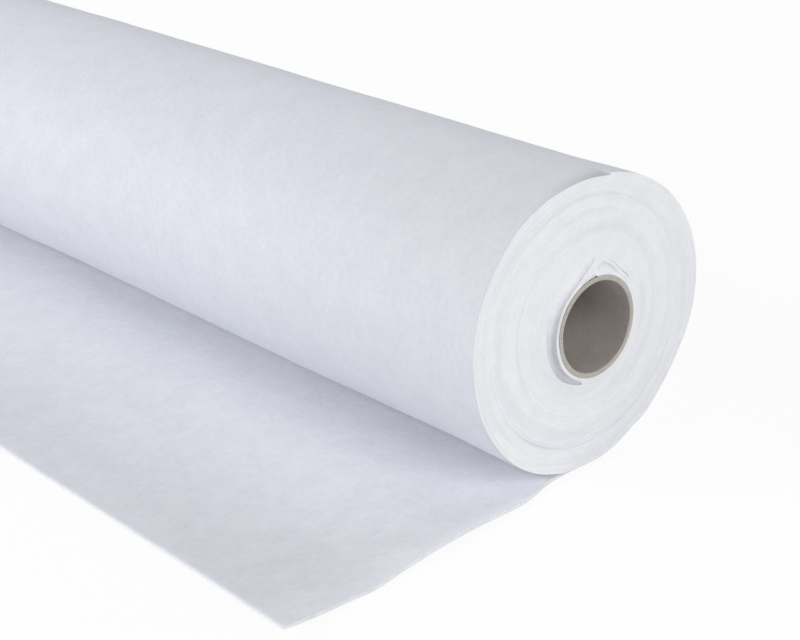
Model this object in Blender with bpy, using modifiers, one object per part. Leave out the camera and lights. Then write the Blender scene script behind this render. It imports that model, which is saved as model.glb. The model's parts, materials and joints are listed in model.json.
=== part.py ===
"""Roll of needle-punched geotextile on a cardboard core, with its free end drawn out over the ground.

The roll lies along X with +Z up. The free end runs out towards -Y. The origin is the middle of the
rectangle that the whole part covers on the ground. Outlines are worked out in the plane of the roll's end,
as (back, up) places from the middle of the roll: back is +Y, up is +Z, and an angle of 0 points back.
"""

import math

import bmesh
import bpy
import numpy as np
from mathutils import Vector

# The web: one length of felt, wound from the core outwards
WEB_WIDTH = 1.0
PRESSED_THICKNESS = 0.0024
LOOSE_THICKNESS = 0.0028
WEB_GAP = 0.0005

# The roll's outside, an oval that sags a little
ROLL_RADIUS = 0.1266
ROLL_OVAL = 0.0021
OVAL_ANGLE = math.radians(36)
ROLL_SAG = 0.0019
SAG_ANGLE = math.radians(41)
REST_HALF_WIDTH = 0.0095

# The cardboard core, behind and below the middle of the roll
CORE_PROUD = 0.0005
CORE_BORE_RADIUS = 0.0381
CORE_WALL = 0.004
CORE_CHAMFER = 0.0006
CORE_BACK = 0.0094
CORE_DROP = 0.0053
CORE_FIT = 0.0003
CORE_STEPS = 72

# The round parting between the outer turns and the turns that go round with the core
OUTER_TURNS_DEPTH = 0.023
PARTING_BACK = 0.0018
PARTING_RISE = 0.0004
PARTING_CLEARANCE = 0.0006
GROOVE_WIDTH = 0.0016
GROOVE_ANGLE = math.radians(205)
FEATHER_THICKNESS = 0.0008

# The web's beginning, folded over once above the core in a loose loop, where turns are counted from
FOLD_ANGLE = math.radians(84)
FOLD_GAP = 0.0006
LOOP_RISE = 0.0078
LOOP_EASE = math.radians(36)
LOOP_POINTS = 8
HEM_ANGLE = math.radians(45)
HEM_EASE = math.radians(20)
CLIMB_SHARE = 0.2
CLIMB_FINE = math.radians(10)
CLIMB_POINTS = 4

# The loose place beside the core, where the second turn stands off the first
SLACK_WIDTH = 0.0102
SLACK_TO = math.radians(250)
SLACK_SKEW = 0.7
BLEND_POWER = 4

# The free end on the ground
TAIL_REACH = 0.320
LEAD_LENGTH = 0.045
BUTT_GAP = 0.0003
RIPPLE_HEIGHT = 0.0042
RIPPLE_FROM = 0.050
RIPPLE_TO = 0.235
CURL_FROM = 0.240
CURL_HEIGHT = 0.0065
RIPPLE_POINTS = 14
CURL_POINTS = 6

# How finely a turn is cut into straight stretches
FINE_POINTS = 48
COARSE_POINTS = 24
FINE_INNER_TURNS = 1.5

FELT = (0.80, 0.81, 0.84, 1.0)
CARDBOARD = (0.36, 0.31, 0.26, 1.0)

CORE_OUTER_RADIUS = CORE_BORE_RADIUS + CORE_WALL
CORE_LENGTH = WEB_WIDTH + 2 * CORE_PROUD
PARTING_RADIUS = ROLL_RADIUS - OUTER_TURNS_DEPTH
CORE_CENTRE = Vector((CORE_BACK, -CORE_DROP))
PARTING_CENTRE = Vector((PARTING_BACK, PARTING_RISE))
START_ANGLE = -math.pi / 2 + math.asin(REST_HALF_WIDTH / ROLL_RADIUS)
HUG_RADIUS = (CORE_OUTER_RADIUS + CORE_FIT) / math.cos(math.pi / COARSE_POINTS)
LOOP_RADIUS = (FOLD_GAP + LOOP_RISE) / 2 + LOOSE_THICKNESS


def clear_scene():
    for thing in list(bpy.data.objects):
        bpy.data.objects.remove(thing, do_unlink=True)


def smooth(share):
    share = min(max(share, 0.0), 1.0)
    return share * share * (3 - 2 * share)


def on_ring(centre, radius, angle):
    return centre + Vector((math.cos(angle), math.sin(angle))) * radius


def oval(angle):
    """The roll's outside before its underside is pressed flat."""
    bulge = ROLL_OVAL * math.cos(2 * angle - OVAL_ANGLE) + ROLL_SAG * math.cos(3 * angle - SAG_ANGLE)
    return on_ring(Vector((0, 0)), ROLL_RADIUS + bulge, angle)


REST_LEVEL = -oval(START_ANGLE).y


def outside(angle):
    """The roll's outside, flat where it rests."""
    point = oval(angle)
    return point * (REST_LEVEL / -point.y) if point.y < -REST_LEVEL else point


def socket(angle):
    """The hole in the outer turns, with the groove that shows at the front."""
    groove = GROOVE_WIDTH * max(0.0, math.cos(angle - GROOVE_ANGLE))
    return on_ring(PARTING_CENTRE, PARTING_RADIUS + PARTING_CLEARANCE + groove, angle)


def parting(angle):
    """The outside of the turns that go round with the core."""
    return on_ring(PARTING_CENTRE, PARTING_RADIUS, angle)


def fold_room(before_fold):
    """The room inside the fold, at an angle before it: a loop that closes to a narrow gap."""
    return FOLD_GAP + LOOP_RISE * smooth(1 - before_fold / LOOP_EASE)


def second_turn(angle):
    """The inside of the second turn: over the folded beginning, then slack, then on the first turn."""
    past_fold = (angle - FOLD_ANGLE) % (2 * math.pi)
    before_fold = 2 * math.pi - past_fold
    on_hem = smooth((HEM_ANGLE + HEM_EASE - before_fold) / HEM_EASE)
    on_loop = smooth((2 * HEM_EASE - past_fold) / HEM_EASE)
    height = LOOSE_THICKNESS + fold_room(before_fold)
    lifted = max(height * on_hem, (LOOSE_THICKNESS + fold_room(0)) * on_loop)
    share = min(past_fold / (SLACK_TO - FOLD_ANGLE), 1.0)
    slack = SLACK_WIDTH * math.sin(math.pi * share**SLACK_SKEW)
    stand_off = (lifted**BLEND_POWER + slack**BLEND_POWER) ** (1 / BLEND_POWER)
    return on_ring(CORE_CENTRE, HUG_RADIUS + LOOSE_THICKNESS + WEB_GAP + stand_off, angle)


def whole_turns(inner, outer, beyond=0):
    """How many turns fit where the winding is tightest, and beyond, a part of a turn."""
    angles = [2 * math.pi * step / FINE_POINTS for step in range(FINE_POINTS)]
    room = min((outer(angle) - inner(angle)).length for angle in angles)
    return math.floor(room / (PRESSED_THICKNESS + WEB_GAP) - beyond) + beyond


OUTER_TURNS = whole_turns(socket, outside)
INNER_PART_TURN = (FOLD_ANGLE - START_ANGLE) / (2 * math.pi)
INNER_TURNS = whole_turns(second_turn, parting, INNER_PART_TURN)


def outer_turn_faces():
    """The outer turns' outside and inside, from the ground inwards. The last turn thins out at the socket."""
    faces = []
    for step in range(FINE_POINTS * OUTER_TURNS + 1):
        turn = step / FINE_POINTS
        angle = START_ANGLE + 2 * math.pi * turn
        inwards = socket(angle) - outside(angle)
        room = inwards.length
        pitch = room / OUTER_TURNS
        near = pitch * turn
        far = min(pitch * (turn + 1) - WEB_GAP, room)
        if far - near < FEATHER_THICKNESS:
            break
        inwards.normalize()
        faces.append((outside(angle) + inwards * near, outside(angle) + inwards * far))
    return faces


def folded_beginning():
    """The web's end, which lies on the first turn, and the loop that brings it round to the core."""
    faces = []
    steps = math.ceil(COARSE_POINTS * HEM_ANGLE / (2 * math.pi))
    for step in range(steps):
        before_fold = HEM_ANGLE * (1 - step / steps)
        inner = HUG_RADIUS + LOOSE_THICKNESS + fold_room(before_fold)
        angle = FOLD_ANGLE - before_fold
        outer = inner + LOOSE_THICKNESS
        faces.append((on_ring(CORE_CENTRE, outer, angle), on_ring(CORE_CENTRE, inner, angle)))
    middle = on_ring(CORE_CENTRE, HUG_RADIUS + LOOP_RADIUS, FOLD_ANGLE)
    for step in range(LOOP_POINTS):
        angle = FOLD_ANGLE + math.pi * step / LOOP_POINTS
        inside = on_ring(middle, LOOP_RADIUS - LOOSE_THICKNESS, angle)
        faces.append((on_ring(middle, LOOP_RADIUS, angle), inside))
    return faces


def over_loop(past_fold):
    """The radius of the first turn's inside: on the core, then straight up beside the loop, then over it."""
    middle = HUG_RADIUS + LOOP_RADIUS
    clear = LOOP_RADIUS + WEB_GAP
    leaves = math.acos((HUG_RADIUS - clear) / middle)
    meets = math.atan2(clear * math.sin(leaves), middle + clear * math.cos(leaves))
    if past_fold > leaves:
        return HUG_RADIUS
    if past_fold > meets:
        return HUG_RADIUS / math.cos(leaves - past_fold)
    return middle * math.cos(past_fold) + math.sqrt(clear**2 - (middle * math.sin(past_fold)) ** 2)


def first_turn_faces(turn, angle, pitch):
    """The turn that hugs the core, which climbs over the folded beginning at the end."""
    inner = over_loop(2 * math.pi * (1 - turn))
    climb = smooth((turn - 1 + CLIMB_SHARE) / CLIMB_SHARE)
    thickness = LOOSE_THICKNESS + (pitch - WEB_GAP - LOOSE_THICKNESS) * climb
    return on_ring(CORE_CENTRE, inner, angle), on_ring(CORE_CENTRE, inner + thickness, angle)


def inner_turn_places():
    """Turns counted outwards from the fold, with finer steps beside the loop and near the parting."""
    last = INNER_TURNS + 1
    coarse = math.floor(last - FINE_INNER_TURNS)
    places = [step / COARSE_POINTS for step in range(coarse * COARSE_POINTS)]
    places += [1 - CLIMB_FINE / (2 * math.pi) * (step + 1) / CLIMB_POINTS for step in range(CLIMB_POINTS)]
    fine = math.floor((last - coarse) * FINE_POINTS)
    return sorted(places) + [coarse + step / FINE_POINTS for step in range(fine + 1)]


def inner_turn_faces():
    """The inner turns' inside and outside, from the core outwards. The last turn thins out at the parting."""
    faces = folded_beginning()
    for turn in inner_turn_places():
        angle = FOLD_ANGLE - 2 * math.pi * turn
        start = second_turn(angle)
        outwards = parting(angle) - start
        room = outwards.length
        pitch = room / INNER_TURNS
        if turn < 1:
            faces.append(first_turn_faces(turn, angle, pitch))
            continue
        near = pitch * (turn - 1)
        far = min(pitch * turn - WEB_GAP, room)
        if far - near < FEATHER_THICKNESS:
            break
        outwards.normalize()
        faces.append((start + outwards * near, start + outwards * far))
    return faces


def tail_rise(reach):
    """How far the free end's underside stands off the ground, at this reach from the middle of the roll."""
    if RIPPLE_FROM < reach < RIPPLE_TO:
        share = (reach - RIPPLE_FROM) / (RIPPLE_TO - RIPPLE_FROM)
        return RIPPLE_HEIGHT * (1 - math.cos(2 * math.pi * share)) / 2
    if reach > CURL_FROM:
        return CURL_HEIGHT * ((reach - CURL_FROM) / (TAIL_REACH - CURL_FROM)) ** 2
    return 0.0


def tail_faces():
    """The free end's underside and top, from the roll forwards."""
    ripple = np.linspace(RIPPLE_FROM, RIPPLE_TO, RIPPLE_POINTS + 1).tolist()
    curl = np.linspace(CURL_FROM, TAIL_REACH, CURL_POINTS + 1).tolist()
    faces = []
    for reach in [LEAD_LENGTH + BUTT_GAP] + ripple + curl:
        under = Vector((-reach, tail_rise(reach) - REST_LEVEL))
        faces.append((under, under + Vector((0, LOOSE_THICKNESS))))
    return faces


def outer_web_outline(faces):
    """The closed outline of the outer turns, with the lead that lies flat under the front of the roll."""
    front = Vector((-LEAD_LENGTH, -REST_LEVEL))
    top = front + Vector((0, LOOSE_THICKNESS))
    return [front] + [face[0] for face in faces] + [face[1] for face in reversed(faces)] + [top]


def strip_outline(faces):
    return [face[0] for face in faces] + [face[1] for face in reversed(faces)]


def nearest(points, starts, ends, skip):
    """The least distance from points to stretches that lie more than skip places along from them."""
    least = math.inf
    along = ends - starts
    lengths = np.maximum((along**2).sum(axis=1), np.finfo(float).tiny)
    order = np.arange(len(starts))
    for place, point in enumerate(points):
        share = np.clip(((point - starts) * along).sum(axis=1) / lengths, 0, 1)
        apart = np.linalg.norm(starts + along * share[:, None] - point, axis=1)
        apart = apart[np.abs(order - place) > skip]
        least = min(least, apart.min())
    return least


def least_gap(faces):
    """The least gap between one turn and the next, measured on the outline's points."""
    sides = [np.array([face[side][:] for face in faces]) for side in (0, 1)]
    skip = COARSE_POINTS // 2 + LOOP_POINTS
    return min(nearest(points, other[:-1], other[1:], skip) for points in sides for other in sides)


def web_length(faces):
    middles = [(face[0] + face[1]) / 2 for face in faces]
    return sum((after - before).length for before, after in zip(middles, middles[1:]))


def material(name, colour, roughness):
    made = bpy.data.materials.new(name)
    made.use_nodes = True
    shader = made.node_tree.nodes["Principled BSDF"]
    shader.inputs["Base Color"].default_value = colour
    shader.inputs["Roughness"].default_value = roughness
    shader.inputs["Metallic"].default_value = 0.0
    return made


def finish(piece, collection, colour, roughness, bend):
    """Gives a piece its material, smooth shading over bends below the given angle, and its collection."""
    piece.data.materials.clear()
    piece.data.materials.append(material(piece.name, colour, roughness))
    piece.data.shade_smooth()
    piece.data.set_sharp_from_angle(angle=bend)
    for other in list(piece.users_collection):
        other.objects.unlink(piece)
    collection.objects.link(piece)


def extrude_outline(name, outline, origin, width):
    """A solid as wide as the web, from a closed outline in the plane of the roll's end."""
    curve = bpy.data.curves.new(name, "CURVE")
    curve.dimensions = "2D"
    curve.fill_mode = "BOTH"
    curve.extrude = width / 2
    spline = curve.splines.new("POLY")
    spline.points.add(len(outline) - 1)
    for point, place in zip(spline.points, outline):
        point.co = (*(place - origin), 0, 1)
    spline.use_cyclic_u = True
    drawn = bpy.data.objects.new(name, curve)
    bpy.context.scene.collection.objects.link(drawn)
    bpy.context.view_layer.update()
    mesh = bpy.data.meshes.new_from_object(drawn.evaluated_get(bpy.context.evaluated_depsgraph_get()))
    bpy.data.objects.remove(drawn, do_unlink=True)
    weld_caps(mesh)
    piece = bpy.data.objects.new(name, mesh)
    piece.rotation_euler = (math.pi / 2, 0, math.pi / 2)
    return piece


def weld_caps(mesh):
    cage = bmesh.new()
    cage.from_mesh(mesh)
    bmesh.ops.remove_doubles(cage, verts=cage.verts, dist=0.00001)
    bmesh.ops.recalc_face_normals(cage, faces=cage.faces)
    cage.to_mesh(mesh)
    cage.free()


def turned_tube(name, length, inner, outer, chamfer, steps):
    """A tube along X with its four rims chamfered: a profile that a Screw turns round the X axis."""
    half = length / 2
    profile = [
        (-half, inner + chamfer), (-half + chamfer, inner), (half - chamfer, inner), (half, inner + chamfer),
        (half, outer - chamfer), (half - chamfer, outer), (-half + chamfer, outer), (-half, outer - chamfer),
    ]
    corners = [(along, 0, up) for along, up in profile]
    edges = [(corner, (corner + 1) % len(profile)) for corner in range(len(profile))]
    mesh = bpy.data.meshes.new(name)
    mesh.from_pydata(corners, edges, [])
    piece = bpy.data.objects.new(name, mesh)
    screw = piece.modifiers.new("turn", "SCREW")
    screw.axis = "X"
    screw.steps = screw.render_steps = steps
    screw.use_merge_vertices = True
    screw.merge_threshold = 0.00001
    screw.use_smooth_shade = True
    return piece


def in_world(place, roll_back):
    """A place in the plane of the roll's end, as a world point in the middle of the roll's length."""
    return Vector((0, place.x + roll_back, place.y + REST_LEVEL))


def main():
    clear_scene()
    parts = bpy.data.collections.new("geotextile_roll")
    bpy.context.scene.collection.children.link(parts)

    outer_faces = outer_turn_faces()
    inner_faces = inner_turn_faces()
    tail = tail_faces()
    roll_back = (TAIL_REACH - max(face[0].x for face in outer_faces)) / 2

    outer_web = extrude_outline("web_outer_turns", outer_web_outline(outer_faces), Vector((0, 0)), WEB_WIDTH)
    outer_web.location = in_world(Vector((0, 0)), roll_back)
    finish(outer_web, parts, FELT, 0.95, math.radians(30))

    turning = bpy.data.objects.new("roll_turn_axis", None)
    turning.location = in_world(PARTING_CENTRE, roll_back)
    turning.empty_display_size = CORE_BORE_RADIUS
    parts.objects.link(turning)

    inner_web = extrude_outline("web_inner_turns", strip_outline(inner_faces), PARTING_CENTRE, WEB_WIDTH)
    inner_web.parent = turning
    finish(inner_web, parts, FELT, 0.95, math.radians(30))

    bore, wall_outside = CORE_BORE_RADIUS, CORE_OUTER_RADIUS
    core = turned_tube("core_tube", CORE_LENGTH, bore, wall_outside, CORE_CHAMFER, CORE_STEPS)
    core.location = (0, *(CORE_CENTRE - PARTING_CENTRE))
    core.parent = turning
    finish(core, parts, CARDBOARD, 0.85, math.radians(30))

    tail_root = tail[0][0]
    free_end = extrude_outline("web_tail", strip_outline(tail), tail_root, WEB_WIDTH)
    free_end.location = in_world(tail_root, roll_back)
    finish(free_end, parts, FELT, 0.95, math.radians(30))

    gaps = [round(1000 * least_gap(faces), 3) for faces in (outer_faces, inner_faces)]
    print("least gap between turns, mm:", *gaps)
    print("turns, outer and inner:", OUTER_TURNS, round(INNER_TURNS + 1, 3))
    print("web length, m:", round(web_length(outer_faces) + web_length(inner_faces) + TAIL_REACH, 3))
    print("roll_turn axis, m:", *(round(value, 6) for value in turning.location))
    print("core axis, m:", *(round(value, 6) for value in in_world(CORE_CENTRE, roll_back)))
    print("tail travel a radian, m:", round(turning.location.z - LOOSE_THICKNESS / 2, 6))


main()
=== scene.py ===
"""Geotextile roll: needle-punched felt on a paper core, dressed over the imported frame.

Outlines are worked out in the plane of the roll's end, as (back, up) places from the middle of the roll:
back is +Y, up is +Z, and an angle of 0 points back. All sizes are in metres.
"""

import json
import math
import random

import bmesh
import bpy
import numpy as np
from mathutils import Matrix, Vector


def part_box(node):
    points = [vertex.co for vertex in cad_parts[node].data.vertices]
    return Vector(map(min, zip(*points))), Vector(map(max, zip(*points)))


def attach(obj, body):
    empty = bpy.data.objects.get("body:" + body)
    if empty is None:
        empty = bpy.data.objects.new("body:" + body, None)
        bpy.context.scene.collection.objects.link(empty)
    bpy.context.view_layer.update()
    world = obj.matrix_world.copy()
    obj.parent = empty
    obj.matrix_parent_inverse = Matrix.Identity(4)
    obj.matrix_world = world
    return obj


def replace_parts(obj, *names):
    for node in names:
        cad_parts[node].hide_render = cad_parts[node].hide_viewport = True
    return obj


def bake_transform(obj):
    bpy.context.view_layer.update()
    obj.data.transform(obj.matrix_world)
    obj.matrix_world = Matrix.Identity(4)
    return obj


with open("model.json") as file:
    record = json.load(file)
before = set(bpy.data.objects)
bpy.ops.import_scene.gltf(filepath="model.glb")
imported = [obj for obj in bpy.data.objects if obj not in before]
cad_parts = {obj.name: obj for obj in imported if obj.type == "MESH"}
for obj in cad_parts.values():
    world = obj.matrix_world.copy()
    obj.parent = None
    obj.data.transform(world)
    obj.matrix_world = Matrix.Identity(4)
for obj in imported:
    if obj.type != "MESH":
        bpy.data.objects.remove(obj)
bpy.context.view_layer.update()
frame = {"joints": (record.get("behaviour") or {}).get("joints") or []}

# The roll's outside, as in the frame's solids
ROLL_RADIUS = 0.1266
ROLL_OVAL = 0.0021
OVAL_ANGLE = math.radians(36)
ROLL_SAG = 0.0019
SAG_ANGLE = math.radians(41)
REST_HALF_WIDTH = 0.0095

# Two places where the felt has settled a little flatter: angle, depth, and how narrow
FLATTER = ((math.radians(319), 0.0026, 11.0), (math.radians(57), 0.0012, 14.0))

# The web and the two packs of turns
LOOSE_THICKNESS = 0.0028
SEAM_GAP = 0.00003
OUTER_TURNS = 6
OUTER_TURNS_DEPTH = 0.023
PARTING_BACK = 0.0018
PARTING_RISE = 0.0004
PARTING_CLEARANCE = 0.00004
FEATHER_THICKNESS = 0.00012

# The web's folded beginning with its loose loop, the first turn's climb over it, and the slack
# beside the core
CORE_FIT = 0.0001
FOLD_ANGLE = math.radians(84)
FOLD_GAP = 0.0004
LOOP_RISE = 0.0082
LOOP_EASE = math.radians(36)
HEM_ANGLE = math.radians(45)
HEM_EASE = math.radians(20)
CLIMB_SHARE = 0.2
CLIMB_FINE = math.radians(10)
SLACK_WIDTH = 0.0108
SLACK_TO = math.radians(250)
SLACK_SKEW = 0.7
LIFT_BLEND = 4

# The slack shows as a hollow in the roll's end: degrees past the fold, and depth as a share of the slack
HOLLOW_DEPTHS = (
    (0, 0.02),
    (20, 0.1),
    (45, 0.24),
    (80, 0.38),
    (112, 0.7),
    (140, 0.84),
    (158, 0.4),
    (166, -1.0),
    (360, -1.0),
)
HOLLOW_SLOPE = 0.6
HOLLOW_SLOPE_REACH = 3
FILL_SLOPE = 0.0003
LOOP_FILL = 0.97
LOOP_CLEAR = math.radians(3)
LOOP_CLEAR_EASE = 0.7 * LOOP_CLEAR

# Soft rings in the roll's end: radius, depth, half width outwards, and where they are deepest
RINGS = (
    (0.1028, 0.0034, 0.0032, math.radians(178)),
    (0.0925, 0.0006, 0.0040, math.radians(120)),
    (0.0774, 0.0024, 0.0030, math.radians(155)),
    (0.0680, 0.0004, 0.0040, math.radians(20)),
    (0.1150, 0.0005, 0.0040, math.radians(300)),
)
RING_FADE = 0.25
RING_INWARDS = 2.0

# The web's cut edges: how far they bulge beyond its faces, how that varies, and how they wander
EDGE_BULGE = 0.0001
EDGE_BULGE_WAVES = 0.00006
EDGE_BULGE_LEAST = 0.00004
EDGE_BULGE_MOST = 0.00024
EDGE_BULGE_SHARE = 0.45
EDGE_WANDER = 0.0001
END_UNEVENNESS = 0.00025
RIGHT_END_SEED = 8
LEFT_END_SEED = 9

# The wall: its relief, its rounded rims, and how much more the roll's ends stand out than the middle
WALL_SWELLS = 0.0004
WALL_LUMPS = 0.00012
WALL_FADE = 0.06
RIM_DROP = 0.0006
RIM_WIDTH = 0.006
FLARE = 0.0012
FLARE_WIDTH = 0.08

# The thin stretch of the outermost turn's edge, with painted shade along it, and the outermost turn greyer
# towards the roll's right end
NOTCH_DEPTH = 0.0023
NOTCH_WIDTH = 0.015
NOTCH_FROM = math.radians(76)
NOTCH_TO = math.radians(128)
NOTCH_STEP = math.radians(0.5)
END_GREY = 0.17
END_GREY_WIDTH = 0.38

# How finely the felt is meshed: round the roll, round the cut edges, and across the web. Columns near the
# web's edges are shares of its width
OUTER_STEPS = 144
INNER_STEPS = 84
FOLD_STEPS = 16
CLIMB_STEPS = 16
HEM_STATIONS = (0.995, 1.01)
EDGE_SHARES = (0.04, 0.13, 0.3, 0.5, 0.7, 0.87, 0.96)
EDGE_POWER = 3.2
OUTER_COLUMNS = (0.0, 0.002, 0.005, 0.009, 0.013, 0.018, 0.026, 0.04)
OUTER_MIDDLE_COLUMNS = 34
INNER_COLUMNS = (0.0, 0.0003, 0.0007, 0.0013, 0.0022, 0.0032, 0.0045, 0.006, 0.009, 0.013, 0.018, 0.05)
INNER_MIDDLE_COLUMNS = 1
TAIL_COLUMNS = (0.0, 0.003, 0.01, 0.02)
TAIL_MIDDLE_COLUMNS = 90
TAIL_STEPS = 120

# The free end
TAIL_REACH = 0.3218
RIPPLE_HEIGHT = 0.0042
RIPPLE_FROM = 0.050
RIPPLE_TO = 0.235
CURL_FROM = 0.240
CURL_HEIGHT = 0.0065
FRONT_SKEW = 0.0105
TAIL_SHIFT = 0.0043
TAIL_LUMPS = 0.0004
TAIL_LUMPS_FADE = 6
RIPPLE_VARIES = 0.25
CURL_VARIES = 0.2
TAIL_EDGE_BULGE = 0.0011
FRONT_EDGE_TURNS = (30, 55, 75)
FRONT_EDGE_LENGTHS = (0.5, 0.8, 1.0)

# Its right side: set back under the roll, drawn out in front of it, with a small bulge further on
REST_SETBACK = 0.0060
SETBACK_TO = math.radians(-74)
SETBACK_EASE = math.radians(14)
DRAWN_OUT_FROM = 0.035
DRAWN_OUT_WIDTH = 0.055
SIDE_BULGE = 0.0022
SIDE_BULGE_AT = 0.237
SIDE_BULGE_WIDTH = 0.018

# The paper core
CORE_WALL = 0.004
CORE_SIDES = 160
CORE_EDGE = 0.0005
CORE_EDGE_ROUND = (0.0002, 0.00015)
CORE_DEPTHS = (0.0005, 0.002, 0.01, 0.05, 0.2)
RIM_SHARES = (0.35, 0.5, 0.65)
RIM_DENTS = 0.00015
RIM_DENTS_REACH = 0.004

# Colours: light and dark felt or cardboard. The wall, the free end and the cut end are one felt, given
# colours per part that stand in for how light falls on them: painted shade on the wall, painted light on the
# free end and more on the cut end
WALL_COLOURS_PAINTED_SHADE = ((0.757, 0.768, 0.823, 1), (0.635, 0.646, 0.710, 1))
FREE_END_COLOURS_PAINTED_LIGHT = ((0.830, 0.842, 0.884, 1), (0.700, 0.711, 0.762, 1))
CUT_COLOURS_PAINTED_LIGHT = ((0.955, 0.963, 0.988, 1), (0.840, 0.850, 0.878, 1))
# Grey for the painted shade in the outermost edge's thin stretch, and for the outermost turn's greying
# towards the right end
PAINTED_SHADE_AND_END_GREY_COLOUR = (0.46, 0.46, 0.47, 1)
CARDBOARD_COLOURS = ((0.603, 0.559, 0.527, 1), (0.407, 0.370, 0.342, 1))
RIM_COLOURS = ((0.68, 0.645, 0.585, 1), (0.52, 0.485, 0.43, 1))
SEAM_COLOUR = (0.16, 0.14, 0.12, 1)
SHEEN_TINT = (0.90, 0.94, 1.0, 1)

# The camera, fitted to the photograph: places from the middle of the roll's visible end
CAMERA_PLACE = Vector((0.92140, -0.95004, 0.63703))
CAMERA_AZIMUTH = math.radians(50.443)
CAMERA_ELEVATION = math.radians(25.230)
CAMERA_ROLL = math.radians(-4.640)
CAMERA_LENS = 84.644
CAMERA_SENSOR = 36.0

# The lamps: name, the way they are from the roll, and power
LAMPS = (
    ("front_left", (-0.45, -0.80, 0.49), 373.0),
    ("right_end", (0.87, -0.10, 0.48), 215.0),
    ("back", (0.10, 0.80, 0.60), 148.0),
)
LAMP_AIM = Vector((-0.1, 0.0, 0.1))
LAMP_DISTANCE = 7.0
LAMP_SIZE = 3.5

# The surroundings. The floor shows the camera a little less than full white, so that it keeps the shadow
FLOOR_REACH = 30.0
FLOOR_DROP = 0.0002
FLOOR_COLOUR = (0.92, 0.92, 0.92, 1)
FLOOR_WHITE = 0.93
SKY_COLOUR = (0.92, 0.95, 1.0, 1)
SKY_STRENGTH = 0.15
WHITE = (1, 1, 1, 1)

TURNING = next(joint for joint in frame["joints"] if joint["name"] == "roll_turn")
ROLL_BACK = TURNING["pos_m"][1] - PARTING_BACK
ROLL_UP = TURNING["pos_m"][2] - PARTING_RISE
START_ANGLE = -math.pi / 2 + math.asin(REST_HALF_WIDTH / ROLL_RADIUS)
END_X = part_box("web_outer_turns")[1][0]
CORE_LOW, CORE_HIGH = (np.array(corner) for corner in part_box("core_tube"))
CORE_CENTRE = (CORE_LOW + CORE_HIGH)[1:] / 2 - (ROLL_BACK, ROLL_UP)
CORE_OUTER_RADIUS = (CORE_HIGH - CORE_LOW)[2] / 2
HUG_RADIUS = CORE_OUTER_RADIUS + CORE_FIT
LOOP_RADIUS = (FOLD_GAP + LOOP_RISE) / 2 + LOOSE_THICKNESS
PARTING_CENTRE = np.array((PARTING_BACK, PARTING_RISE))
PARTING_RADIUS = ROLL_RADIUS - OUTER_TURNS_DEPTH
INNER_TURNS = 16 + (FOLD_ANGLE - START_ANGLE) / (2 * math.pi)


def smooth(share):
    share = np.clip(share, 0.0, 1.0)
    return share * share * (3 - 2 * share)


def waves(seed, count, shortest, longest):
    """A smooth random function of one length, about -1 to 1, made of sines."""
    draw = random.Random(seed)
    terms = []
    for _ in range(count):
        rate = 2 * math.pi / draw.uniform(shortest, longest)
        terms.append((rate, draw.uniform(0, 2 * math.pi)))

    def value(along):
        return sum(np.sin(rate * along + phase) for rate, phase in terms) / math.sqrt(count)

    return value


def relief(seed, count, shortest, longest):
    """A smooth random function of two lengths, about -1 to 1, made of waves that run in all directions."""
    draw = random.Random(seed)
    terms = []
    for _ in range(count):
        rate = 2 * math.pi / draw.uniform(shortest, longest)
        heading = draw.uniform(0, math.pi)
        terms.append((rate * math.cos(heading), rate * math.sin(heading), draw.uniform(0, 2 * math.pi)))

    def value(along, across):
        return sum(np.sin(a * along + b * across + phase) for a, b, phase in terms) / math.sqrt(count)

    return value


def on_ring(centre, radius, angle):
    return centre + np.stack([np.cos(angle), np.sin(angle)], axis=-1) * np.asarray(radius)[..., None]


def oval(angle):
    bulge = ROLL_OVAL * np.cos(2 * angle - OVAL_ANGLE) + ROLL_SAG * np.cos(3 * angle - SAG_ANGLE)
    for settled, depth, narrow in FLATTER:
        bulge = bulge - depth * np.exp(narrow * (np.cos(angle - settled) - 1))
    return on_ring(np.zeros(2), ROLL_RADIUS + bulge, angle)


REST_LEVEL = -oval(START_ANGLE)[1]


def outside(angle):
    """The roll's outside, flat where it rests."""
    points = oval(angle)
    up = points[..., 1]
    return points * np.where(up < -REST_LEVEL, -REST_LEVEL / np.minimum(up, -REST_LEVEL), 1.0)[..., None]


def socket(angle):
    """The hole in the outer turns."""
    return on_ring(PARTING_CENTRE, np.full(np.shape(angle), PARTING_RADIUS + PARTING_CLEARANCE), angle)


def parting(angle):
    """The outside of the turns that go round with the core."""
    return on_ring(PARTING_CENTRE, np.full(np.shape(angle), PARTING_RADIUS), angle)


def fold_room(before_fold):
    """The room under the folded beginning: a loose loop at the fold, and hardly any further on."""
    return FOLD_GAP + LOOP_RISE * smooth(1 - before_fold / LOOP_EASE)


def second_turn(angle):
    """The inside of the second turn: over the folded beginning, then slack, then on the first turn."""
    past_fold = (angle - FOLD_ANGLE) % (2 * math.pi)
    before_fold = 2 * math.pi - past_fold
    on_hem = smooth((HEM_ANGLE + HEM_EASE - before_fold) / HEM_EASE)
    on_loop = smooth((2 * HEM_EASE - past_fold) / HEM_EASE)
    height = LOOSE_THICKNESS + fold_room(before_fold)
    lifted = np.maximum(height * on_hem, (LOOSE_THICKNESS + fold_room(0.0)) * on_loop)
    share = np.minimum(past_fold / (SLACK_TO - FOLD_ANGLE), 1.0)
    slack = SLACK_WIDTH * np.sin(np.pi * share**SLACK_SKEW)
    stand_off = (lifted**LIFT_BLEND + slack**LIFT_BLEND) ** (1 / LIFT_BLEND)
    return on_ring(CORE_CENTRE, HUG_RADIUS + LOOSE_THICKNESS + SEAM_GAP + stand_off, angle)


def in_world(places, along):
    """World points from places in the plane of the roll's end and their places along X."""
    places, along = np.broadcast_arrays(places, np.asarray(along)[..., None])
    return np.stack([along[..., 0], places[..., 0] + ROLL_BACK, places[..., 1] + ROLL_UP], axis=-1)


def path_lengths(points):
    return np.concatenate([[0.0], np.cumsum(np.linalg.norm(np.diff(points, axis=0), axis=1))])


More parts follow.
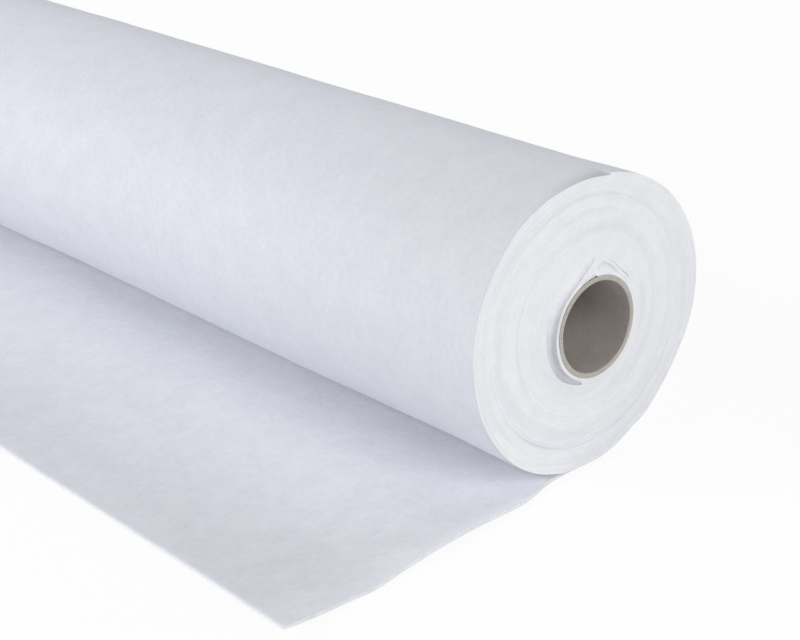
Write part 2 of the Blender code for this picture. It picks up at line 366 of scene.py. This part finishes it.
def cloth_solid(name, near, far, edge_depth, along, soil=None):
    """A closed sheet of felt from its two faces, each a grid of stations along the web and columns across.

    The faces end short of the cut edges by edge_depth, and the edges bulge out between them. The point
    attribute cloth holds each point's place in the flat web: along it, across it and through it. Another
    attribute holds the near face's painted shade and grey. Faces of the cut edges take the second material.
    """
    stations, columns = near.shape[:2]
    middle = (near + far) / 2
    thickness = np.linalg.norm(far - near, axis=2)
    rings, cloth = [near], [np.zeros((stations, columns))]
    for shares, column, side in ((EDGE_SHARES, -1, 1.0), (reversed(EDGE_SHARES), 0, -1.0)):
        for share in shares:
            bulge = (1 - abs(2 * share - 1) ** EDGE_POWER) ** (1 / EDGE_POWER)
            edge = near[:, column] * (1 - share) + far[:, column] * share
            edge[:, 0] += edge_depth[:, column] * bulge * side
            rings.append(edge[:, None])
            cloth.append(np.full((stations, 1), share))
        if side > 0:
            rings.append(far[:, ::-1])
            cloth.append(np.ones((stations, columns)))
    points = np.concatenate(rings, axis=1)
    through = np.concatenate(cloth, axis=1)
    size = points.shape[1]
    row = np.arange(size)
    after = (row + 1) % size
    start = (np.arange(stations - 1) * size)[:, None]
    quads = np.stack([start + row, start + after, start + size + after, start + size + row], -1)
    edge_row = np.zeros(size, int)
    edge_row[columns - 1 : columns + len(EDGE_SHARES)] = 1
    edge_row[2 * columns + len(EDGE_SHARES) - 1 :] = 1
    slots = np.tile(edge_row, stations - 1)
    caps = [list(range(size - 1, -1, -1)), list(range((stations - 1) * size, stations * size))]

    mesh = bpy.data.meshes.new(name)
    mesh.from_pydata(points.reshape(-1, 3).tolist(), [], quads.reshape(-1, 4).tolist() + caps)
    mesh.polygons.foreach_set("material_index", np.concatenate([slots, [1, 1]]).astype(np.int32))
    mesh.polygons.foreach_set("use_smooth", np.ones(len(mesh.polygons), bool))
    place = mesh.attributes.new("cloth", "FLOAT_VECTOR", "POINT")
    depth = through * thickness.mean(axis=1)[:, None]
    values = np.stack([np.repeat(along[:, None], size, 1), points[..., 0], depth], axis=-1)
    place.data.foreach_set("vector", values.astype(np.float32).ravel())
    if soil is not None:
        marks = mesh.attributes.new("soil", "FLOAT", "POINT")
        marked = np.zeros((stations, size))
        marked[:, :columns] = soil
        marks.data.foreach_set("value", marked.astype(np.float32).ravel())
    face_out(mesh)
    piece = bpy.data.objects.new(name, mesh)
    bpy.context.scene.collection.objects.link(piece)
    return piece


def face_out(mesh):
    cage = bmesh.new()
    cage.from_mesh(mesh)
    bmesh.ops.recalc_face_normals(cage, faces=cage.faces)
    cage.to_mesh(mesh)
    cage.free()


def across(fine_ends, middle_steps):
    """Shares of the web's width from its left edge to its right, closer together near the edges."""
    ends = np.array(fine_ends)
    inside = np.linspace(ends[-1], 1 - ends[-1], middle_steps + 1)[1:-1]
    return np.concatenate([ends, inside, 1 - ends[::-1]])


def web_grid(face, right, left, shares):
    """World points of one face, from its line in the plane of the roll's end and the web's two edges."""
    along = left[:, None] + (right - left)[:, None] * shares[None, :]
    return in_world(face[:, None, :], along)


def web_faces(near_line, far_line, right, left, shares):
    """Both faces of wound web, whose edges follow the level of the roll's ends."""
    return [
        web_grid(line, right + end_level(line, RIGHT_END_SEED), left - end_level(line, LEFT_END_SEED), shares)
        for line in (near_line, far_line)
    ]


def make_outer_turns():
    """The outer turns: the wall, their cut edges, and the thin stretch of the outermost edge at the top,
    which carries painted shade.
    """
    notch_turn = (NOTCH_FROM - START_ANGLE) / (2 * math.pi)
    step = NOTCH_STEP / (2 * math.pi)
    turn = np.arange(OUTER_STEPS * OUTER_TURNS) / OUTER_STEPS
    turn = np.sort(np.concatenate([turn, notch_turn + step * np.array([-1.0, 0.0, 1.0])]))
    angle = START_ANGLE + 2 * math.pi * turn
    inwards = socket(angle) - outside(angle)
    room = np.linalg.norm(inwards, axis=1)
    pitch = room / OUTER_TURNS
    near = pitch * turn
    far = np.minimum(pitch * (turn + 1) - SEAM_GAP, room)
    kept = far - near > FEATHER_THICKNESS
    inwards = inwards / room[:, None]
    turn, angle, inwards, near, far = (values[kept] for values in (turn, angle, inwards, near, far))
    near_line = outside(angle) + inwards * near[:, None]
    far_line = outside(angle) + inwards * far[:, None]

    length = path_lengths((near_line + far_line) / 2)
    depth = edge_depths(3, length, far - near)
    under = 1 - smooth((angle - SETBACK_TO) / SETBACK_EASE)
    right = END_X - depth + EDGE_WANDER * waves(4, 5, 0.15, 0.9)(length) - REST_SETBACK * under
    left = -END_X + depth + EDGE_WANDER * waves(5, 5, 0.15, 0.9)(length)
    shares = across(OUTER_COLUMNS, OUTER_MIDDLE_COLUMNS)
    near_face, far_face = web_faces(near_line, far_line, right, left, shares)

    x = near_face[..., 0]
    from_end = END_X - np.abs(x)
    turned = angle - NOTCH_FROM
    back = smooth(turned / NOTCH_STEP + 0.5) * (1 - smooth(turned / (NOTCH_TO - NOTCH_FROM))) * (turn < 1)
    notch = back[:, None] * smooth((x - END_X + NOTCH_WIDTH) / NOTCH_WIDTH)
    height = WALL_SWELLS * relief(6, 9, 0.12, 0.5)(length[:, None], x)
    height = height + WALL_LUMPS * relief(7, 12, 0.035, 0.09)(length[:, None], x)
    height = height - RIM_DROP * np.exp(-from_end / RIM_WIDTH) - FLARE * smooth(from_end / FLARE_WIDTH)
    height = height * smooth(turn / WALL_FADE)[:, None] * smooth((1 - turn) / WALL_FADE)[:, None]
    height = height - np.minimum(NOTCH_DEPTH, (far - near - FEATHER_THICKNESS)[:, None]) * notch
    near_face[..., 1:] -= inwards[:, None, :] * height[..., None]
    edge_depth = np.repeat(depth[:, None], len(shares), 1)
    # The outermost turn turns greyer towards the roll's right end
    grey_to_end = END_GREY * smooth((x - END_X) / END_GREY_WIDTH + 1) * (turn < 1)[:, None]
    # The thin stretch takes painted shade, standing in for the shade in its hollow; the grey towards the
    # right end goes with it
    soil = np.maximum(notch, grey_to_end)
    piece = cloth_solid("felt_outer_turns", near_face, far_face, edge_depth, length, soil=soil)
    return piece, length[-1]


def end_level(line, seed):
    """How far the roll's end stands forward at places in its plane: soft rings, and a slight unevenness."""
    from_middle = line - PARTING_CENTRE
    radius = np.linalg.norm(from_middle, axis=-1)
    angle = np.arctan2(from_middle[..., 1], from_middle[..., 0])
    level = END_UNEVENNESS * relief(seed, 10, 0.02, 0.12)(line[..., 0], line[..., 1])
    for ring, depth, half_width, deepest in RINGS:
        shown = RING_FADE + (1 - RING_FADE) * (1 + np.cos(angle - deepest)) / 2
        width = np.where(radius > ring, half_width, half_width * RING_INWARDS)
        level = level - depth * shown * np.exp(-(((radius - ring) / width) ** 2))
    return level


def edge_depths(seed, length, thickness):
    """How far the cut edge bulges out beyond the web's faces, along the web."""
    depth = EDGE_BULGE + EDGE_BULGE_WAVES * waves(seed, 7, 0.03, 0.25)(length)
    return np.minimum(np.clip(depth, EDGE_BULGE_LEAST, EDGE_BULGE_MOST), thickness * EDGE_BULGE_SHARE)


def folded_beginning():
    """The web's end, which lies on the first turn, and the loop that brings it round to the core.

    The third value holds how far the inside of each station can bulge into the loop.
    """
    before_fold = HEM_ANGLE * (1 - np.arange(FOLD_STEPS) / FOLD_STEPS)
    angle = FOLD_ANGLE - before_fold
    inner = HUG_RADIUS + LOOSE_THICKNESS + fold_room(before_fold)
    near = on_ring(CORE_CENTRE, inner + LOOSE_THICKNESS, angle)
    far = on_ring(CORE_CENTRE, inner, angle)
    middle = on_ring(CORE_CENTRE, HUG_RADIUS + LOOP_RADIUS, FOLD_ANGLE)
    angle = FOLD_ANGLE + math.pi * np.arange(FOLD_STEPS) / FOLD_STEPS
    loop_near = on_ring(middle, LOOP_RADIUS + 0 * angle, angle)
    loop_far = on_ring(middle, LOOP_RADIUS - LOOSE_THICKNESS + 0 * angle, angle)
    room = np.concatenate([0 * far, (middle - loop_far) * LOOP_FILL])
    return np.concatenate([near, loop_near]), np.concatenate([far, loop_far]), room


def over_loop(past_fold):
    """How far the first turn's inside is from the core's middle: on the core, then up over the loop."""
    middle, clear = HUG_RADIUS + LOOP_RADIUS, LOOP_RADIUS + SEAM_GAP
    leaves = math.acos((HUG_RADIUS - clear) / middle)
    meets = math.atan2(clear * math.sin(leaves), middle + clear * math.cos(leaves))
    straight = HUG_RADIUS / np.cos(leaves - np.clip(past_fold, meets, leaves))
    level = middle * np.sin(np.minimum(past_fold, meets))
    on_top = middle * np.cos(past_fold) + np.sqrt(clear**2 - level**2)
    return np.where(past_fold > meets, straight, on_top)


def first_turn_lines(turn, angle, pitch):
    """The turn that hugs the core, and rises over the folded beginning at the end."""
    inner = over_loop(2 * math.pi * (1 - turn))
    climb = smooth((turn - 1 + CLIMB_SHARE) / CLIMB_SHARE)
    thickness = LOOSE_THICKNESS + (pitch - SEAM_GAP - LOOSE_THICKNESS) * climb
    return on_ring(CORE_CENTRE, inner, angle), on_ring(CORE_CENTRE, inner + thickness, angle)


def hollow_floor(past_fold, spare):
    """How far behind the roll's end the felt starts to fill the slack beside the first turn."""
    return spare * np.interp(np.degrees(past_fold), *zip(*HOLLOW_DEPTHS))


def filled(face, room, floor, slope):
    """One face, bulged by room in the plane of the roll's end, from floor behind each end on."""
    behind = END_X - np.abs(face[..., 0]) - np.asarray(floor)[..., None]
    share = smooth(behind / np.asarray(slope)[..., None])
    face[..., 1:] += room[:, None, :] * share[..., None]


def fill_first_turn(turn, angle, near_line, far_line, pitch, near_face, far_face):
    """Lets the first turn bulge into the rooms beside it: under its climb, in the loop and in the slack."""
    outwards = on_ring(np.zeros(2), 1.0 + 0 * angle, angle)
    before_fold, past_fold = 2 * math.pi * turn, 2 * math.pi * (1 - turn)
    under = np.linalg.norm(near_line - CORE_CENTRE, axis=1) - HUG_RADIUS
    under = under * smooth((past_fold - LOOP_CLEAR) / LOOP_CLEAR_EASE)
    filled(near_face, -outwards * under[:, None], 0 * under, FILL_SLOPE + 0 * under)
    above = second_turn(angle) + outwards * (pitch * turn - SEAM_GAP)[:, None]
    spare = np.linalg.norm(above - CORE_CENTRE, axis=1) - np.linalg.norm(far_line - CORE_CENTRE, axis=1)
    in_loop = before_fold < HEM_ANGLE
    spare = np.where(in_loop, fold_room(before_fold) - SEAM_GAP, np.maximum(spare, 0))
    floor = np.where(in_loop, 0, hollow_floor(past_fold, spare))
    slope = np.maximum(HOLLOW_SLOPE * np.minimum(spare, HOLLOW_SLOPE_REACH * floor), FILL_SLOPE)
    filled(far_face, outwards * spare[:, None], floor, slope)


def make_inner_turns():
    """The turns that go round with the core, from the folded beginning to the thinned one at the parting."""
    turn = np.arange(int((INNER_TURNS + 1) * INNER_STEPS)) / INNER_STEPS
    turn = np.union1d(turn, 1 - CLIMB_FINE / (2 * math.pi) * np.arange(1, CLIMB_STEPS) / CLIMB_STEPS)
    turn = np.union1d(turn, HEM_ANGLE / (2 * math.pi) * np.array(HEM_STATIONS))
    angle = FOLD_ANGLE - 2 * math.pi * turn
    start = second_turn(angle)
    outwards = parting(angle) - start
    room = np.linalg.norm(outwards, axis=1)
    pitch = room / INNER_TURNS
    near = pitch * (turn - 1)
    far = np.minimum(pitch * turn - SEAM_GAP, room)
    outwards = outwards / room[:, None]
    near_line = start + outwards * near[:, None]
    far_line = start + outwards * far[:, None]
    first = turn < 1
    near_line[first], far_line[first] = first_turn_lines(turn[first], angle[first], pitch[first])
    kept = np.linalg.norm(far_line - near_line, axis=1) > FEATHER_THICKNESS
    turn, angle, pitch, near_line, far_line = (
        values[kept] for values in (turn, angle, pitch, near_line, far_line)
    )

    fold_near, fold_far, loop_room = folded_beginning()
    near_line = np.concatenate([fold_near, near_line])
    far_line = np.concatenate([fold_far, far_line])
    length = path_lengths((near_line + far_line) / 2)
    depth = edge_depths(11, length, np.linalg.norm(far_line - near_line, axis=1))
    right = END_X - depth + EDGE_WANDER * waves(12, 6, 0.12, 0.7)(length)
    left = -END_X + depth + EDGE_WANDER * waves(13, 6, 0.12, 0.7)(length)
    shares = across(INNER_COLUMNS, INNER_MIDDLE_COLUMNS)
    near_face, far_face = web_faces(near_line, far_line, right, left, shares)
    folded, count = len(fold_near), int(np.sum(turn < 1))
    filled(far_face[:folded], loop_room, np.zeros(folded), np.full(folded, FILL_SLOPE))
    first, there = slice(0, count), slice(folded, folded + count)
    lines_and_faces = (near_line[there], far_line[there], pitch[first], near_face[there], far_face[there])
    fill_first_turn(turn[first], angle[first], *lines_and_faces)
    edge_depth = np.repeat(depth[:, None], len(shares), 1)
    piece = cloth_solid("felt_inner_turns", near_face, far_face, edge_depth, length)
    return piece, length[-1]


def tail_rise(reach, x):
    """How far the free end's underside stands off the ground."""
    share = np.clip((reach - RIPPLE_FROM) / (RIPPLE_TO - RIPPLE_FROM), 0, 1)
    curl = np.clip((reach - CURL_FROM) / (TAIL_REACH - CURL_FROM), 0, None)
    long_waves = relief(21, 6, 0.25, 0.6)(reach, x)
    rise = RIPPLE_HEIGHT * (1 - np.cos(2 * math.pi * share)) / 2 * (1 + RIPPLE_VARIES * long_waves)
    rise = rise + CURL_HEIGHT * curl**2 * (1 + CURL_VARIES * long_waves)
    small = TAIL_LUMPS * (1 + relief(22, 8, 0.06, 0.2)(reach, x)) * smooth(share * TAIL_LUMPS_FADE)
    return np.maximum(rise + small, 0.0)


def make_free_end():
    """The free end, from the roll's underside to its raised front edge."""
    rear = -REST_HALF_WIDTH + SEAM_GAP
    steps = np.linspace(0, 1, TAIL_STEPS)
    shares = across(TAIL_COLUMNS, TAIL_MIDDLE_COLUMNS)
    depth = TAIL_EDGE_BULGE
    x = -END_X + depth + (2 * END_X - 2 * depth) * shares
    front = TAIL_REACH - depth - FRONT_SKEW * (END_X - x)
    reach = rear + (front[None, :] - rear) * steps[:, None]
    drawn_out = smooth((reach - DRAWN_OUT_FROM) / DRAWN_OUT_WIDTH)
    at_side = shares[None, :] ** 4
    along = x[None, :] + TAIL_SHIFT * drawn_out - REST_SETBACK * (1 - drawn_out) * at_side
    along = along + SIDE_BULGE * np.exp(-(((reach - SIDE_BULGE_AT) / SIDE_BULGE_WIDTH) ** 2)) * at_side
    under = tail_rise(reach, along)
    slope = np.gradient(under, axis=0) / np.gradient(reach, axis=0)
    lean = np.stack([0 * slope, slope, 1 + 0 * slope], axis=-1) / np.sqrt(1 + slope**2)[..., None]
    near = np.stack([along, ROLL_BACK - reach, under], axis=-1)
    far = near + lean * LOOSE_THICKNESS
    edge_depth = np.full(reach.shape, depth)
    middle, half = (near + far) / 2, (near - far) / 2
    for turned in FRONT_EDGE_TURNS:
        lifted, ahead = math.cos(math.radians(turned)), depth * math.sin(math.radians(turned))
        shift = np.array((0, -ahead, 0))
        near = np.concatenate([near, (middle[-1:] + half[-1:] * lifted + shift)])
        far = np.concatenate([far, (middle[-1:] - half[-1:] * lifted + shift)])
        edge_depth = np.concatenate([edge_depth, edge_depth[-1:] * 0 + depth * lifted])
    length = path_lengths(middle[:, len(shares) // 2])
    length = np.concatenate([length, length[-1] + depth * np.array(FRONT_EDGE_LENGTHS)])
    piece = cloth_solid("felt_free_end", near, far, edge_depth, -length)
    return piece, length[-1]


def make_core():
    """The paper core: a tube with softened, slightly uneven rims.

    The attribute cloth holds each point's place in the tube: round it, along it and out from the bore.
    """
    inner, outer = CORE_OUTER_RADIUS - CORE_WALL, CORE_OUTER_RADIUS
    half = CORE_HIGH[0]
    bore = [(half - depth, inner) for depth in CORE_DEPTHS]
    along_round, out_round = CORE_EDGE_ROUND
    rim = [(half - along_round, inner + out_round), (half, inner + CORE_EDGE)]
    rim += [(half, inner + CORE_WALL * share) for share in RIM_SHARES]
    rim += [(half, outer - CORE_EDGE), (half - along_round, outer - out_round), (half - CORE_EDGE, outer)]
    profile = [(-along, radius) for along, radius in bore] + bore[::-1] + rim
    profile += [(-along, radius) for along, radius in reversed(rim)]
    angle = 2 * math.pi * np.arange(CORE_SIDES) / CORE_SIDES
    dents = waves(31, 6, 0.03, 0.12)(angle * inner)
    points, cloth = [], []
    for along, radius in profile:
        near_rim = math.exp(-(half - abs(along)) / RIM_DENTS_REACH)
        turned = np.stack([np.cos(angle), np.sin(angle)], axis=-1) * radius
        shifted = along - math.copysign(RIM_DENTS, along) * (1 + dents) * near_rim
        points.append(in_world(CORE_CENTRE + turned, shifted))
        cloth.append(np.stack([angle * inner, 0 * angle + along, 0 * angle + radius - inner], axis=-1))
    row = np.arange(CORE_SIDES)
    after = (row + 1) % CORE_SIDES
    faces = []
    for ring in range(len(profile)):
        here, there = ring * CORE_SIDES, (ring + 1) % len(profile) * CORE_SIDES
        faces += np.stack([here + row, here + after, there + after, there + row], -1).tolist()
    mesh = bpy.data.meshes.new("paper_core")
    mesh.from_pydata(np.concatenate(points).tolist(), [], faces)
    mesh.polygons.foreach_set("use_smooth", np.ones(len(mesh.polygons), bool))
    place = mesh.attributes.new("cloth", "FLOAT_VECTOR", "POINT")
    place.data.foreach_set("vector", np.concatenate(cloth).astype(np.float32).ravel())
    face_out(mesh)
    piece = bpy.data.objects.new("paper_core", mesh)
    bpy.context.scene.collection.objects.link(piece)
    return piece


class Nodes:
    """Adds nodes to a material, with their inputs given by name or by link."""

    def __init__(self, name):
        self.material = bpy.data.materials.new(name)
        self.material.use_nodes = True
        self.tree = self.material.node_tree
        self.shader = self.tree.nodes["Principled BSDF"]

    def add(self, kind, inputs=None, **settings):
        node = self.tree.nodes.new(kind)
        for key, value in settings.items():
            setattr(node, key, value)
        for key, value in (inputs or {}).items():
            self.put(node.inputs[key], value)
        return node

    def put(self, socket_in, value):
        if isinstance(value, bpy.types.NodeSocket):
            self.tree.links.new(value, socket_in)
        else:
            socket_in.default_value = value

    def math(self, operation, *values):
        return self.add("ShaderNodeMath", dict(enumerate(values)), operation=operation).outputs[0]

    def total(self, *terms):
        """The sum of values, each times its share."""
        summed, *others = [self.math("MULTIPLY", value, share) for value, share in terms]
        for term in others:
            summed = self.math("ADD", summed, term)
        return summed

    def vector_math(self, operation, first, second=(0, 0, 0)):
        return self.add("ShaderNodeVectorMath", {0: first, 1: second}, operation=operation).outputs

    def noise(self, coords, scale, detail=2.0, roughness=0.5):
        inputs = {"Vector": coords, "Scale": scale, "Detail": detail, "Roughness": roughness}
        return self.add("ShaderNodeTexNoise", inputs).outputs["Fac"]

    def turned(self, coords, angle, scale):
        """Coordinates turned in the plane of the web, then stretched."""
        inputs = {"Vector": coords, "Rotation": (0, 0, angle)}
        flat = self.add("ShaderNodeMapping", inputs, vector_type="TEXTURE").outputs[0]
        return self.add("ShaderNodeMapping", {"Vector": flat, "Scale": scale}).outputs[0]

    def span(self, value, low, high, to_low=0.0, to_high=1.0):
        inputs = {"Value": value, "From Min": low, "From Max": high, "To Min": to_low, "To Max": to_high}
        return self.add("ShaderNodeMapRange", inputs).outputs[0]

    def mix(self, share, first, second):
        node = self.add("ShaderNodeMix", data_type="RGBA")
        for index, value in ((0, share), (6, first), (7, second)):
            self.put(node.inputs[index], value)
        return node.outputs[2]

    def bump(self, height, strength, distance):
        inputs = {"Height": height, "Strength": strength, "Distance": distance}
        return self.add("ShaderNodeBump", inputs).outputs[0]

    def finish(self, colour, roughness, normal, sheen=0.0, specular=0.3):
        self.put(self.shader.inputs["Base Color"], colour)
        self.shader.inputs["Roughness"].default_value = roughness
        self.shader.inputs["Specular IOR Level"].default_value = specular
        self.shader.inputs["Sheen Weight"].default_value = sheen
        self.shader.inputs["Sheen Roughness"].default_value = 0.6
        self.shader.inputs["Sheen Tint"].default_value = SHEEN_TINT
        self.put(self.shader.inputs["Normal"], normal)
        return self.material


def felt(name, light, dark):
    """The web's faces: matted fibres that lie every way in the sheet, tufts, clouds and needle marks, with
    grey mixed in by attribute: painted shade, and grey towards the roll's right end.
    """
    nodes = Nodes(name)
    place = nodes.add("ShaderNodeAttribute", attribute_name="cloth").outputs["Vector"]
    laid = [nodes.turned(place, angle, (330, 1700, 900)) for angle in (0.2, 1.25, 2.3)]
    fibres = [nodes.noise(coords, 1.0, 2.0, 0.6) for coords in laid]
    matted = nodes.math("MAXIMUM", nodes.math("MAXIMUM", fibres[0], fibres[1]), fibres[2])
    clouds = nodes.noise(place, 38.0, 2.0, 0.5)
    tufts = nodes.noise(place, 190.0, 1.5, 0.5)
    lumps = nodes.noise(place, 420.0, 2.0, 0.6)
    cells = nodes.add("ShaderNodeTexVoronoi", {"Vector": place, "Scale": 330.0, "Randomness": 0.85})
    needles = nodes.span(cells.outputs["Distance"], 0.08, 0.3)
    tone = nodes.total(
        (nodes.span(matted, 0.45, 0.75), 0.15),
        (nodes.span(clouds, 0.3, 0.7), 0.29),
        (nodes.span(tufts, 0.3, 0.7), 0.32),
        (nodes.span(lumps, 0.3, 0.7), 0.14),
        (needles, 0.10),
    )
    soil = nodes.add("ShaderNodeAttribute", attribute_name="soil").outputs["Fac"]
    # Mixes in grey by the attribute: painted shade in the outermost edge's thin stretch, and grey towards the
    # right end
    colour = nodes.mix(nodes.math("MULTIPLY", soil, 0.8), nodes.mix(tone, dark, light), PAINTED_SHADE_AND_END_GREY_COLOUR)
    height = nodes.total((matted, 0.4), (lumps, 0.6), (tufts, 1.2), (needles, 0.25))
    return nodes.finish(colour, 0.95, nodes.bump(height, 0.36, 0.0006), sheen=0.25)


def cut_felt(name, light, dark):
    """The web's cut edges: fibre ends in layers along the sheet, and soft grey bands of painted shade round
    the roll's end.
    """
    nodes = Nodes(name)
    place = nodes.add("ShaderNodeAttribute", attribute_name="cloth").outputs["Vector"]
    solid = nodes.add("ShaderNodeTexCoord").outputs["Object"]
    layers = nodes.noise(nodes.turned(place, 0.0, (330, 60, 2600)), 1.0, 2.0, 0.6)
    tufts = nodes.noise(solid, 420.0, 3.0, 0.6)
    clouds = nodes.noise(solid, 60.0, 2.0, 0.5)
    from_axis = nodes.vector_math("SUBTRACT", solid, (0, ROLL_BACK, ROLL_UP))[0]
    in_end = nodes.vector_math("MULTIPLY", from_axis, (0, 1, 1))[0]
    radius = nodes.vector_math("LENGTH", in_end)["Value"]
    parts = nodes.add("ShaderNodeSeparateXYZ", {0: in_end}).outputs
    ring_place = nodes.add("ShaderNodeCombineXYZ", {
        0: nodes.math("MULTIPLY", radius, 110.0),
        1: nodes.math("MULTIPLY", parts[1], 9.0),
        2: nodes.math("MULTIPLY", parts[2], 9.0),
    }).outputs[0]
    # Soft grey bands round the roll's axis: painted shade, like the shade in the valleys between turns
    painted_ring_shade = nodes.span(nodes.noise(ring_place, 1.0, 1.5, 0.5), 0.47, 0.68)
    tone = nodes.total(
        (nodes.span(layers, 0.3, 0.7), 0.35),
        (nodes.span(tufts, 0.3, 0.7), 0.35),
        (nodes.span(clouds, 0.3, 0.7), 0.3),
        (painted_ring_shade, -0.45),
    )
    height = nodes.total((layers, 0.4), (tufts, 1.0))
    return nodes.finish(nodes.mix(tone, dark, light), 0.95, nodes.bump(height, 0.36, 0.0007), sheen=0.25)


def cardboard(name):
    """Grey-brown paper core: grain along it, the butt seam of its inner ply, ply lines in the rims."""
    nodes = Nodes(name)
    place = nodes.add("ShaderNodeAttribute", attribute_name="cloth").outputs["Vector"]
    parts = nodes.add("ShaderNodeSeparateXYZ", {0: place})
    grain = nodes.noise(nodes.turned(place, 0.95, (900, 90, 4000)), 1.0, 3.0, 0.6)
    flecks = nodes.noise(place, 900.0, 2.0, 0.6)
    stains = nodes.noise(place, 40.0, 3.0, 0.5)
    round_it = nodes.math("DIVIDE", parts.outputs[0], 2 * math.pi * (CORE_OUTER_RADIUS - CORE_WALL))
    wound = nodes.math("ADD", round_it, nodes.math("DIVIDE", parts.outputs[1], 0.14))
    seam = nodes.math("PINGPONG", wound, 0.5)
    seam = nodes.span(seam, 0.0, 0.006)
    ply = nodes.math("PINGPONG", nodes.math("DIVIDE", parts.outputs[2], 0.0008), 0.5)
    ply = nodes.span(ply, 0.0, 0.22)
    rim = nodes.span(parts.outputs[2], 0.0002, 0.0004)
    ply = nodes.math("MAXIMUM", ply, nodes.math("SUBTRACT", 1.0, rim))
    tone = nodes.span(nodes.total((grain, 0.45), (flecks, 0.2), (stains, 0.35)), 0.3, 0.7)
    light, dark = CARDBOARD_COLOURS
    rim_light, rim_dark = RIM_COLOURS
    rim_colour = nodes.mix(nodes.span(flecks, 0.3, 0.7), rim_dark, rim_light)
    colour = nodes.mix(rim, nodes.mix(tone, dark, light), rim_colour)
    seam = nodes.math("MAXIMUM", seam, rim)
    colour = nodes.mix(nodes.math("MULTIPLY", seam, ply), SEAM_COLOUR, colour)
    height = nodes.total((grain, 0.4), (seam, 0.8), (ply, 0.5))
    return nodes.finish(colour, 0.8, nodes.bump(height, 0.5, 0.0003), specular=0.35)


def show_white(tree, plain, white, output, share):
    """Shows the camera white for that share, and keeps the plain shader for everything else."""
    path = tree.nodes.new("ShaderNodeLightPath")
    seen = tree.nodes.new("ShaderNodeMath")
    seen.operation = "MULTIPLY"
    seen.inputs[1].default_value = share
    both = tree.nodes.new("ShaderNodeMixShader")
    tree.links.new(path.outputs["Is Camera Ray"], seen.inputs[0])
    tree.links.new(seen.outputs[0], both.inputs[0])
    tree.links.new(plain.outputs[0], both.inputs[1])
    tree.links.new(white.outputs[0], both.inputs[2])
    tree.links.new(both.outputs[0], tree.nodes[output].inputs["Surface"])


def make_floor():
    """A pale floor that shows white, apart from the roll's shadow."""
    mesh = bpy.data.meshes.new("floor")
    corners = [(-1, -1), (1, -1), (1, 1), (-1, 1)]
    mesh.from_pydata([(FLOOR_REACH * x, FLOOR_REACH * y, 0) for x, y in corners], [], [(0, 1, 2, 3)])
    floor = bpy.data.objects.new("floor", mesh)
    floor.location.z = -FLOOR_DROP
    bpy.context.scene.collection.objects.link(floor)
    paint = bpy.data.materials.new("floor")
    paint.use_nodes = True
    shader = paint.node_tree.nodes["Principled BSDF"]
    shader.inputs["Base Color"].default_value = FLOOR_COLOUR
    shader.inputs["Roughness"].default_value = 0.9
    shader.inputs["Specular IOR Level"].default_value = 0.0
    white = paint.node_tree.nodes.new("ShaderNodeEmission")
    white.inputs["Color"].default_value = WHITE
    show_white(paint.node_tree, shader, white, "Material Output", FLOOR_WHITE)
    mesh.materials.append(paint)


def light_all():
    """A weak bluish dome, which shows white itself, and three large soft lamps."""
    world = bpy.data.worlds.new("studio")
    bpy.context.scene.world = world
    world.use_nodes = True
    sky = world.node_tree.nodes["Background"]
    sky.inputs["Color"].default_value = SKY_COLOUR
    sky.inputs["Strength"].default_value = SKY_STRENGTH
    white = world.node_tree.nodes.new("ShaderNodeBackground")
    white.inputs["Color"].default_value = WHITE
    white.inputs["Strength"].default_value = 1.0
    show_white(world.node_tree, sky, white, "World Output", 1.0)
    for name, towards, power in LAMPS:
        add_lamp(name, towards, power)


def add_lamp(name, towards, power):
    """A large round lamp that shines on the roll from the given direction."""
    lamp = bpy.data.lights.new(name, "AREA")
    lamp.shape = "DISK"
    lamp.size = LAMP_SIZE
    lamp.energy = power
    held = bpy.data.objects.new(name, lamp)
    held.location = LAMP_AIM + LAMP_DISTANCE * Vector(towards).normalized()
    held.rotation_euler = (-Vector(towards)).to_track_quat("-Z", "Y").to_euler()
    bpy.context.scene.collection.objects.link(held)


def add_camera():
    """The photograph's view: azimuth 0 looks along +Y, and 90 along -X."""
    level = math.cos(CAMERA_ELEVATION)
    right = Vector((math.cos(CAMERA_AZIMUTH), math.sin(CAMERA_AZIMUTH), 0))
    back = Vector((right.y * level, -right.x * level, math.sin(CAMERA_ELEVATION)))
    up = back.cross(right)
    cosine, sine = math.cos(CAMERA_ROLL), math.sin(CAMERA_ROLL)
    axes = Matrix((cosine * right + sine * up, cosine * up - sine * right, back)).transposed()
    camera = bpy.data.objects.new("camera", bpy.data.cameras.new("camera"))
    place = Vector((END_X, ROLL_BACK, ROLL_UP)) + CAMERA_PLACE
    camera.matrix_world = Matrix.Translation(place) @ axes.to_4x4()
    camera.data.lens = CAMERA_LENS
    camera.data.sensor_width = CAMERA_SENSOR
    camera.data.clip_start = 0.01
    bpy.context.scene.collection.objects.link(camera)
    bpy.context.scene.camera = camera


bpy.context.scene.view_settings.view_transform = "Standard"
add_camera()
make_floor()
light_all()

# One felt in three materials, darker or lighter per part: painted shade on the wall, painted light on the
# free end and the cut end
wall_felt = felt("felt_wall", *WALL_COLOURS_PAINTED_SHADE)
free_felt = felt("felt_free", *FREE_END_COLOURS_PAINTED_LIGHT)
edge_felt = cut_felt("felt_wound", *CUT_COLOURS_PAINTED_LIGHT)

outer_turns, outer_length = make_outer_turns()
outer_turns.data.materials.append(wall_felt)
outer_turns.data.materials.append(edge_felt)
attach(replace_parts(outer_turns, "web_outer_turns"), "outer_turns")

inner_turns, inner_length = make_inner_turns()
inner_turns.data.materials.append(edge_felt)
inner_turns.data.materials.append(edge_felt)
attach(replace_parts(inner_turns, "web_inner_turns"), "wound_core")

free_end, free_length = make_free_end()
free_end.data.materials.append(free_felt)
free_end.data.materials.append(edge_felt)
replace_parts(free_end, "web_tail")
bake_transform(free_end)

core = make_core()
core.data.materials.append(cardboard("core_cardboard"))
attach(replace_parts(core, "core_tube"), "wound_core")
